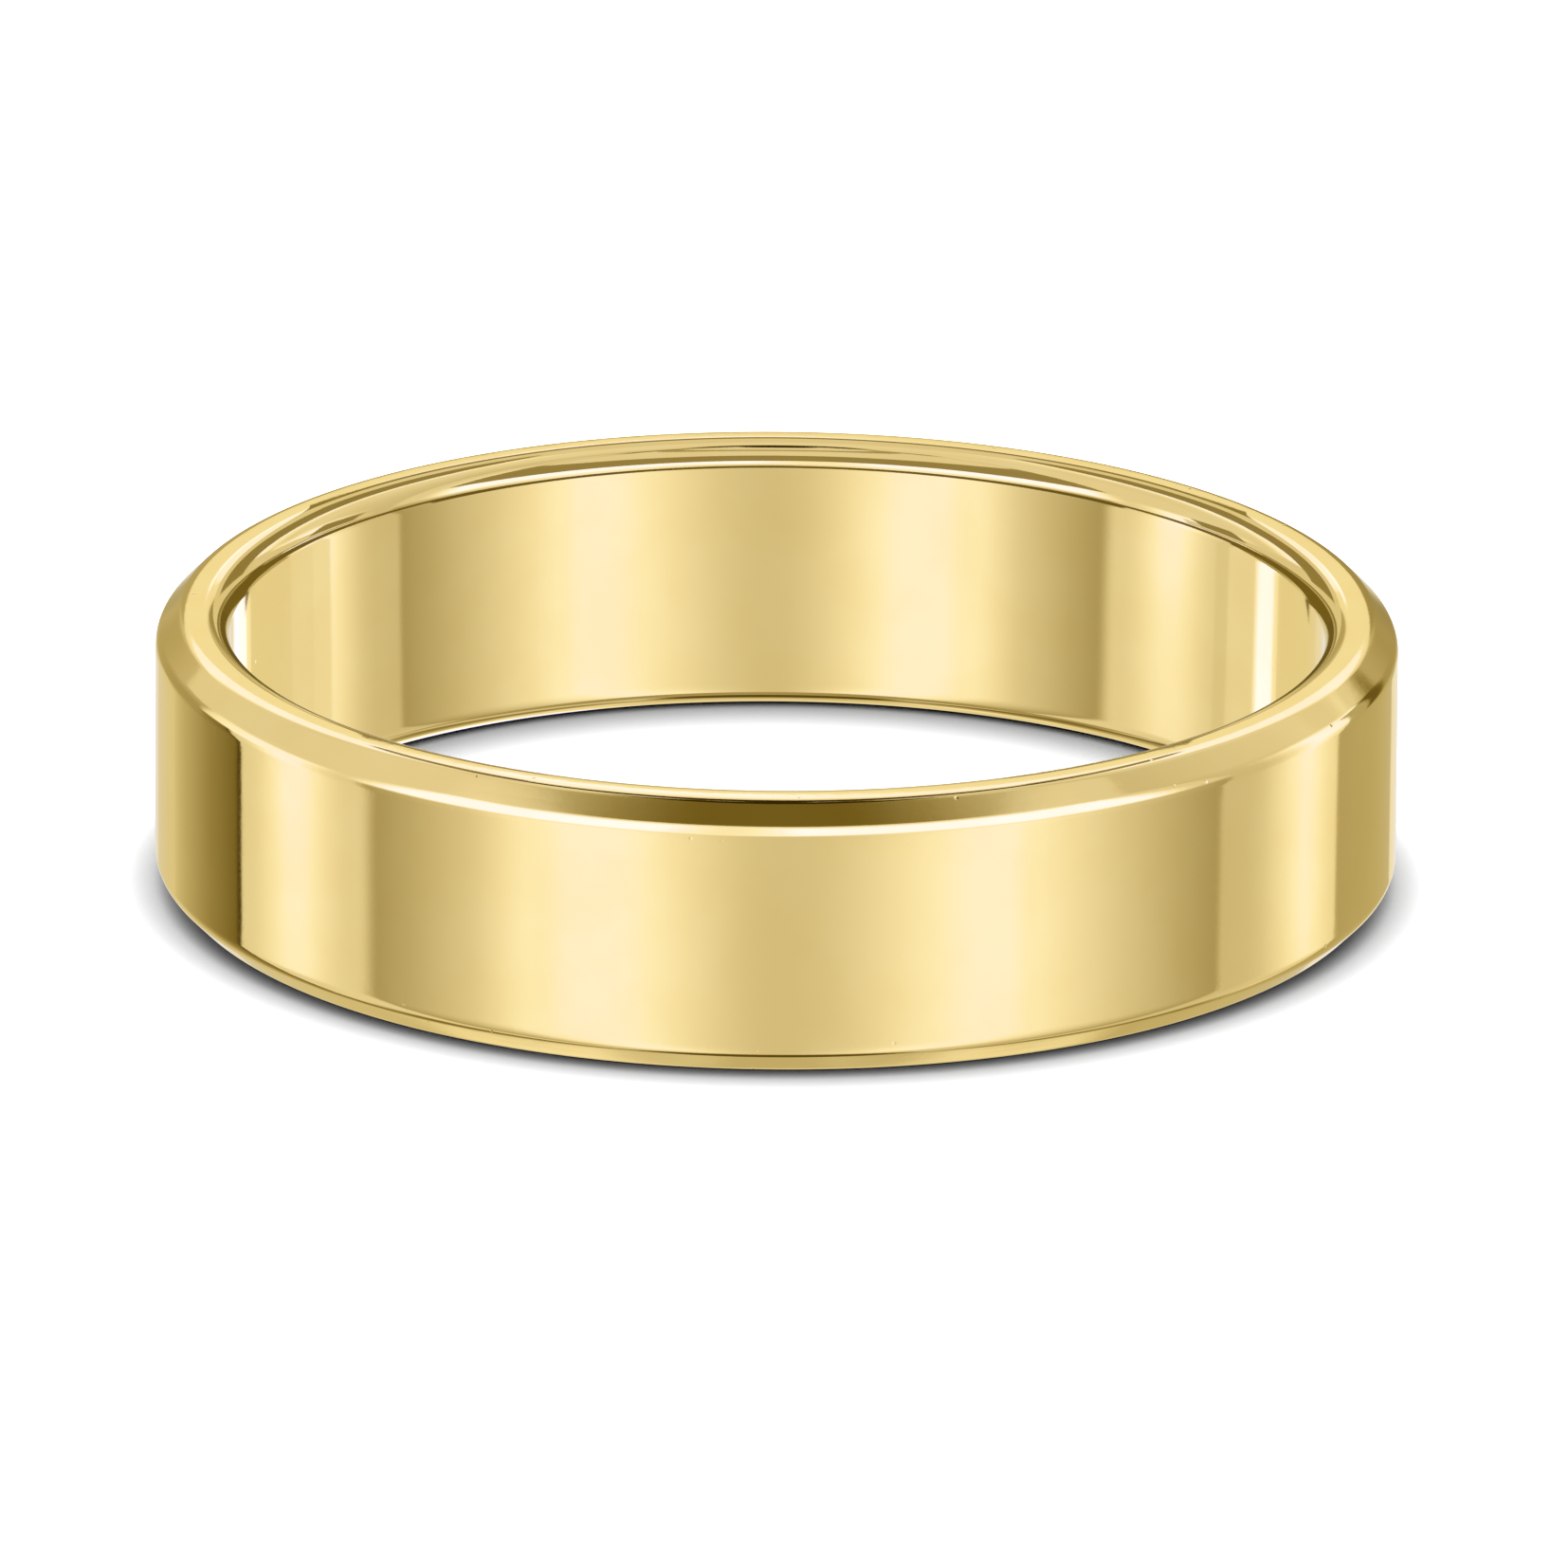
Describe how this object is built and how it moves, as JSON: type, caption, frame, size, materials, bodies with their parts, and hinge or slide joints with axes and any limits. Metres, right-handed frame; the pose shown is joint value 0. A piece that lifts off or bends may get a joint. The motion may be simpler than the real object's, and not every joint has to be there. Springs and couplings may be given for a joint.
{
  "type": "wedding band",
  "caption": "Plain polished gold wedding band with a flat outer wall, bevelled edges, narrow flat rims and a comfort-fit bore.",
  "frame": {"origin": "centre of the finger bore, in the plane of the lower rim", "axes": "+Z along the finger axis, from the lower rim to the upper rim; the band is round, so +X and +Y are any two directions square to it"},
  "size_m": [0.022, 0.022, 0.005],
  "materials": {
    "gold": "polished"
  },
  "bodies": {
    "root": {"band": "gold"}
  },
  "joints": []
}
